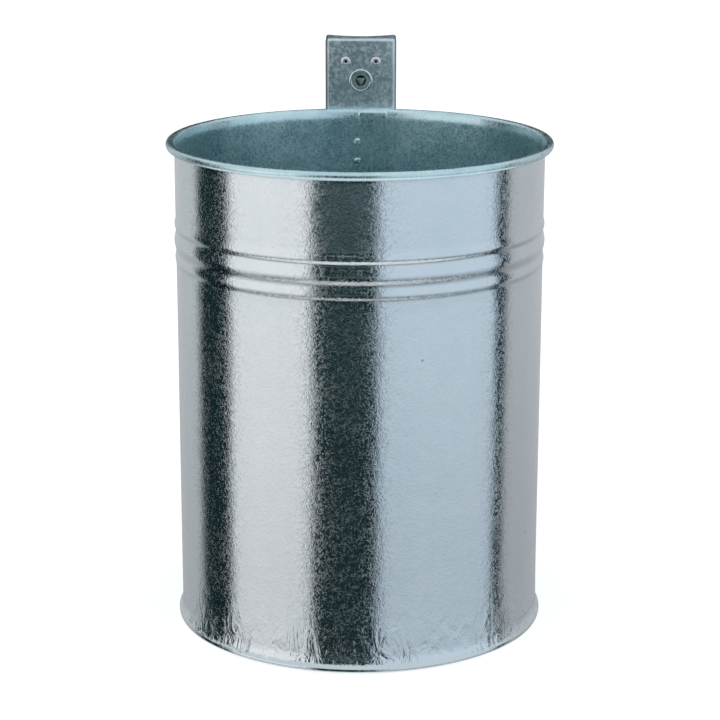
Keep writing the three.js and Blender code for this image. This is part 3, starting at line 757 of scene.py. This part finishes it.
# %% [markdown]
# ## The hood
#
# The hood is folded from two-millimetre sheet: a face, two cheeks and a top whose rear edge is
# hollowed for a round post. Below the rim the face steps forward to meet the bin's wall. A
# line with rounded bends is filled and pulled upward into a block, and a bevel rounds the
# fold at its top. A smaller block of the same kind is cut out of it, which leaves the sheet,
# and then the post and the holes for the rivets and the lock.

# %% Plan the hood
HOOD_X, FACE_Y, SEAT_Y, REAR_Y = 33.0, 168.0, 160.3, 202.0
HOOD_FOOT, HOOD_TOP, STEP_TOP, STEP_HEIGHT = 366.3, 493.5, 420.0, 12.0
CHEEK_Y, BEND, FOLD_R = 180.0, 4.0, 3.0


def face_shift(z):
    """How far the face has stepped forward at a height."""
    t = share_of((STEP_TOP - z) / STEP_HEIGHT)
    return (FACE_Y - SEAT_Y) * t * t * (3 - 2 * t)


def hood_block(inset, rear, foot):
    """A solid block in the hood's outer shape, moved in by an inset all round."""
    bend, face = BEND - inset, FACE_Y + inset
    side = HOOD_X - inset
    plan = [(-side, rear), (-side, 190.0), (-side, CHEEK_Y)]
    plan += arc_points(-side + bend, face + bend, bend, 180, 270, 8)
    plan += [(x, face) for x in (-18.0, -6.0, 6.0, 18.0)]
    plan += arc_points(side - bend, face + bend, bend, 270, 360, 8)
    plan += [(side, CHEEK_Y), (side, 190.0), (side, rear)]
    top = HOOD_TOP - inset
    levels = [385.0, 400.0, 408.0, 409.5, 411.0, 413.0, 415.0, 417.0, 418.5, 420.0]
    levels += [440.0, 455.0, 470.0, top]
    bm = bmesh.new()
    _, edges = line_of(bm, [(x, y, foot) for x, y in plan], closed=True)
    bmesh.ops.contextual_create(bm, geom=edges)
    edges = pull_up(bm, edges, levels)
    bmesh.ops.contextual_create(bm, geom=edges)
    for v in bm.verts:
        share = share_of((REAR_Y * MM - v.co.y) / ((REAR_Y - CHEEK_Y) * MM))
        v.co.y -= face_shift(v.co.z / MM) * MM * share
    bmesh.ops.recalc_face_normals(bm, faces=bm.faces)
    fold = [
        e for e in bm.edges
        if all(abs(v.co.z - top * MM) < SAME for v in e.verts)
        and not all(abs(v.co.y - rear * MM) < SAME for v in e.verts)
    ]
    bmesh.ops.bevel(
        bm, geom=fold, offset=(FOLD_R - inset) * MM, offset_type="OFFSET", affect="EDGES",
        segments=6, profile=0.5, material=-1,
    )
    return bm


print("hood", 2 * HOOD_X, "mm wide,", round(HOOD_TOP - HOOD_FOOT, 1), "mm high")

# %% Fold and cut the hood
SHEET, POST_R = 2.0, 46.0
RIVET_X, RIVET_Z, RIVET_HOLE = 14.0, 472.3, 2.7
LOCK, LOCK_HOLE = (0.0, 0.0, 454.4), 10.1
hood = finish_piece(
    "hood", hood_block(0.0, REAR_Y, HOOD_FOOT), HOOD_ZINC, replaces=("mounting_hood",),
    smooth=40.0,
)
inside = hood_block(SHEET, REAR_Y + 20.0, HOOD_FOOT - 10.0)
post_y = REAR_Y + math.sqrt(POST_R**2 - HOOD_X**2)
post = rod(POST_R, (0.0, post_y, 490.0), "Z", 16.0, 160)
holes = [rod(RIVET_HOLE, (x, FACE_Y, RIVET_Z), "Y", 12.0) for x in (-RIVET_X, RIVET_X)]
holes.append(rod(LOCK_HOLE, (0.0, FACE_Y, LOCK[2]), "Y", 12.0, 64))
carve(hood, [inside, post, *holes])

# %% [markdown]
# ## Rivets and welds
#
# A blind rivet is a hollow body with a low domed head; its mandrel has snapped off a little
# below the head and shows as a dark core. The welds are small and lumpy, so their shapes get
# a little noise.

# %% Turn the rivets
rivet_line = [(1.6, 167.0), (1.75, 166.75), (2.2, 166.62), (2.9, 166.68), (3.6, 166.92)]
rivet_line += [(4.15, 167.3), (4.45, 167.75), (4.5, 168.0), (2.4, 168.0), (2.4, 172.5)]
rivet_line += [(3.4, 172.5), (3.7, 172.9), (3.7, 175.4), (3.2, 176.4), (2.4, 176.9)]
rivet_line += [(1.6, 176.9), (1.6, 172.0)]
pin_line = [(0.0, 168.5), (0.6, 168.55), (1.15, 168.7), (1.3, 169.0), (1.3, 177.2)]
pin_line += [(2.2, 177.3), (2.6, 177.7), (2.4, 178.5), (1.6, 178.8), (0.0, 178.8)]
for side, x in (("left", -RIVET_X), ("right", RIVET_X)):
    bm = turned(rivet_line, 40, closed=True, along="Y", centre=(x, 0, RIVET_Z))
    rivet = finish_piece(
        f"rivet_body_{side}", bm, RIVET_ZINC, replaces=(f"rivet_{side}",), smooth=50.0
    )
    bm = turned(pin_line, 28, along="Y", centre=(x, 0, RIVET_Z))
    pin = finish_piece(f"pin_{side}", bm, PIN_STEEL, replaces=(f"mandrel_{side}",))

# %% Shape the welds
WELD_X, WELD_Y, BEAD_R, BEAD_LENGTH = -3.0, 157.9, 2.3, 38.7
# Blender shifts noise_vector by random numbers that start from the clock, so each run would
# give other lumps. A fixed seed gives the same ones every time.
WELD_SEED = 1795562850
noise.seed_set(WELD_SEED)


def lumpy(bm, amount, scale, seed):
    """Moves the vertices by noise of an amount and a scale in millimetres."""
    for v in bm.verts:
        push = noise.noise_vector(v.co / (scale * MM) + Vector((seed, seed, seed)))
        v.co += push * amount * MM


for i, (level, z) in enumerate((("upper", 398.0), ("lower", 380.0))):
    bm = bmesh.new()
    bmesh.ops.create_uvsphere(bm, u_segments=32, v_segments=20, radius=1.0)
    bmesh.ops.scale(bm, verts=bm.verts, vec=Vector((3.4, 1.7, 4.1 - 0.5 * i)) * MM)
    bmesh.ops.translate(bm, verts=bm.verts, vec=Vector((WELD_X, WELD_Y, z)) * MM)
    lumpy(bm, 0.45, 2.2, 3.0 + i)
    plug = finish_piece(f"plug_weld_{level}", bm, WELD_ZINC, replaces=(f"hood_weld_{level}",))

for side, sign in (("left", -1.0), ("right", 1.0)):
    bm = rod(BEAD_R, (0.0, 0.0, 0.0), "Z", BEAD_LENGTH, 24)
    upright = [e for e in bm.edges if abs(e.verts[0].co.z - e.verts[1].co.z) > 1e-4]
    bmesh.ops.subdivide_edges(bm, edges=upright, cuts=36)
    for v in bm.verts:
        ripple = 1.0 + 0.08 * math.sin(v.co.z / MM * 2.6)
        v.co.x *= ripple
        v.co.y *= ripple
    bmesh.ops.translate(bm, verts=bm.verts, vec=Vector((sign * 32.4, 159.3, 388.6)) * MM)
    lumpy(bm, 0.3, 4.0, 7.0 + sign)
    bead = finish_piece(f"side_weld_{side}", bm, DARK_ZINC, replaces=(f"hood_weld_{side}",))

# %% [markdown]
# ## The lock
#
# The barrel has a round bezel. In it turns a core with a well, and in the well stands a
# three-sided driver, flat side up, that takes a hollow three-sided key. Behind the core are
# the journal and the square that carries the cam. Barrel and core are turned about a line
# along Y.

# %% Turn the barrel
barrel_line = [(8.3, 166.3), (8.45, 165.85), (8.9, 165.65), (9.6, 165.6), (10.3, 165.75)]
barrel_line += [(10.8, 166.2), (11.0, 166.9), (11.0, 168.0), (9.8, 168.0), (9.8, 179.0)]
barrel_line += [(4.8, 179.0), (4.8, 177.0), (8.3, 177.0), (8.3, 172.0)]
barrel = finish_piece(
    "barrel", turned(barrel_line, 72, closed=True, along="Y", centre=LOCK),
    BRIGHT_ZINC, replaces=("lock_barrel",), smooth=50.0,
)

# %% Shape the driver and the core
CUP_Y, WELL_FLOOR_Y, CORE_REAR_Y = 167.8, 174.3, 176.7
DRIVER_R, DRIVER_LENGTH, DRIVER_EDGE = 4.7, 6.4, 0.4


def take_in(bm, other):
    """Adds another bmesh to this one."""
    mesh = bpy.data.meshes.new("part_of_core")
    other.to_mesh(mesh)
    other.free()
    bm.from_mesh(mesh)
    bpy.data.meshes.remove(mesh)


bm = bmesh.new()
bmesh.ops.create_circle(bm, cap_ends=True, segments=3, radius=DRIVER_R * MM)
lowest = min(bm.verts, key=lambda v: v.co.y)
turn_by = -math.pi / 2 - math.atan2(lowest.co.y, lowest.co.x)
bmesh.ops.rotate(bm, verts=bm.verts, matrix=Matrix.Rotation(turn_by, 3, "Z"))
push_out(bm, list(bm.faces), (0, 0, DRIVER_LENGTH))
bmesh.ops.bevel(
    bm, geom=list(bm.edges), offset=DRIVER_EDGE * MM, offset_type="OFFSET", affect="EDGES",
    segments=3, profile=0.5, material=-1,
)
bmesh.ops.rotate(bm, verts=bm.verts, matrix=Matrix.Rotation(math.pi / 2, 3, "X"))
bmesh.ops.translate(
    bm, verts=bm.verts, vec=Vector((0.0, WELL_FLOOR_Y + DRIVER_EDGE, LOCK[2])) * MM
)
core_line = [(0.0, WELL_FLOOR_Y), (5.0, WELL_FLOOR_Y), (5.2, WELL_FLOOR_Y - 0.2)]
core_line += [(5.2, CUP_Y + 0.3), (5.5, CUP_Y), (7.6, CUP_Y), (8.0, CUP_Y + 0.4)]
core_line += [(8.0, CORE_REAR_Y), (4.5, CORE_REAR_Y), (4.5, 181.0), (0.0, 181.0)]
take_in(bm, turned(core_line, 64, along="Y", centre=LOCK))
take_in(bm, block((6.0, 2.2, 6.0), (0.0, 181.6, LOCK[2])))
driver = finish_piece(
    "driver", bm, CORE_ZINC, body="lock_core", replaces=("key_spindle",), smooth=40.0
)

# %% Paint shadow into the well
# Painted shadow: the faces of the well round the driver get dark finishes, near-black above
# the driver and dark grey below it, for the shade that falls in the well.
PAINTED_SHADOW_FROM = 1.5
driver.data.materials.append(PIN_STEEL)
driver.data.materials.append(DARK_ZINC)
for face in driver.data.polygons:
    middle = face.center / MM
    out = math.hypot(middle.x, middle.z - LOCK[2])
    on_wall = CUP_Y + 0.2 < middle.y < WELL_FLOOR_Y + 0.1 and 4.9 < out < 5.5
    on_floor = abs(middle.y - WELL_FLOOR_Y) < 0.15 and out < 5.3
    if on_wall or on_floor:
        face.material_index = 1 if middle.z > LOCK[2] + PAINTED_SHADOW_FROM else 2
print("shadow_painted faces:", sum(face.material_index > 0 for face in driver.data.polygons))

# %% [markdown]
# ## The wall rail
#
# The rail is a lipped channel: a back on the wall, two sides, and two lips in front that the
# hook plate hangs on. Its plan is a line with small bend radii, pulled upward, given its
# sheet by Solidify and cut for the screws, the straps and the swing of the cam.

# %% Fold the rail
RAIL_FOOT, RAIL_BACK_Y, LIP_X = 370.3, 202.5, 12.0


def rail_half(sign):
    """The lip, the front bend and the rear bend of one side, as (x, y)."""
    points = [(LIP_X, 182.0)]
    points += arc_points(24.7, 184.3, 2.3, -90, 0, 5)
    points += arc_points(24.7, 200.2, 2.3, 0, 90, 5)
    return [(sign * x, y) for x, y in points]


rail_plan = rail_half(1.0) + [(x, RAIL_BACK_Y) for x in (12.0, 0.0, -12.0)]
rail_plan += rail_half(-1.0)[::-1]
bm = bmesh.new()
_, edges = line_of(bm, [(x, y, RAIL_FOOT) for x, y in rail_plan])
pull_up(bm, edges, (400.0, 430.0, 460.0, 478.0))
rail = finish_piece(
    "rail", bm, HOOD_ZINC, body="wall_holder", replaces=("wall_rail",), smooth=40.0
)
add_wall(rail, SHEET)

# %% Cut the rail
SWING_R, SWING_START, SWING_END = 23.2, 164.3, 270
SCREW_HOLE_R, SCREW_HEIGHTS, STRAP_HEIGHTS = 4.0, (462.0, 386.0), (440.0, 406.0)
bm = bmesh.new()
sweep = [(0.0, 6.3)] + arc_points(0.0, 0.0, SWING_R, SWING_START, SWING_END, 24)
_, edges = line_of(bm, [(x, 179.0, LOCK[2] + z) for x, z in sweep], closed=True)
push_out(bm, bmesh.ops.contextual_create(bm, geom=edges)["faces"], (0, 6, 0))
tools = [bm]
tools += [rod(SCREW_HOLE_R, (0.0, RAIL_BACK_Y, z), "Y", 8.0) for z in SCREW_HEIGHTS]
tools += [block((70.0, 5.0, 16.0), (0.0, 199.0, z)) for z in STRAP_HEIGHTS]
carve(rail, tools)

# %% [markdown]
# ## The pieces that stay as they are
#
# The hook plate, the washers, the nut, the cam and its screw are flat plates and small
# fasteners hidden in the hood. Their solids are right as they stand, so they only get their
# finish.

# %% Dress the solid pieces
dressed = {
    "hook_plate": HOOD_ZINC,
    "lock_washer": DARK_ZINC,
    "lock_nut": DARK_ZINC,
    "lock_cam": BRIGHT_ZINC,
    "cam_washer": BRIGHT_ZINC,
    "cam_screw": BRIGHT_ZINC,
}
for name, material in dressed.items():
    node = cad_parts[name]
    node.data.materials.clear()
    node.data.materials.append(material)
print("dressed", len(dressed), "solid pieces")

# %% [markdown]
# ## Finish
#
# The sizes of the solid model and of the dressed one are written side by side, to show that
# the dressing keeps to the real size.

# %% Write the sizes and finish
dressed_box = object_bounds()
for name, corners in (("solid", solid_box), ("dressed", dressed_box)):
    print(name, [[round(v, 4) for v in c] for c in corners])
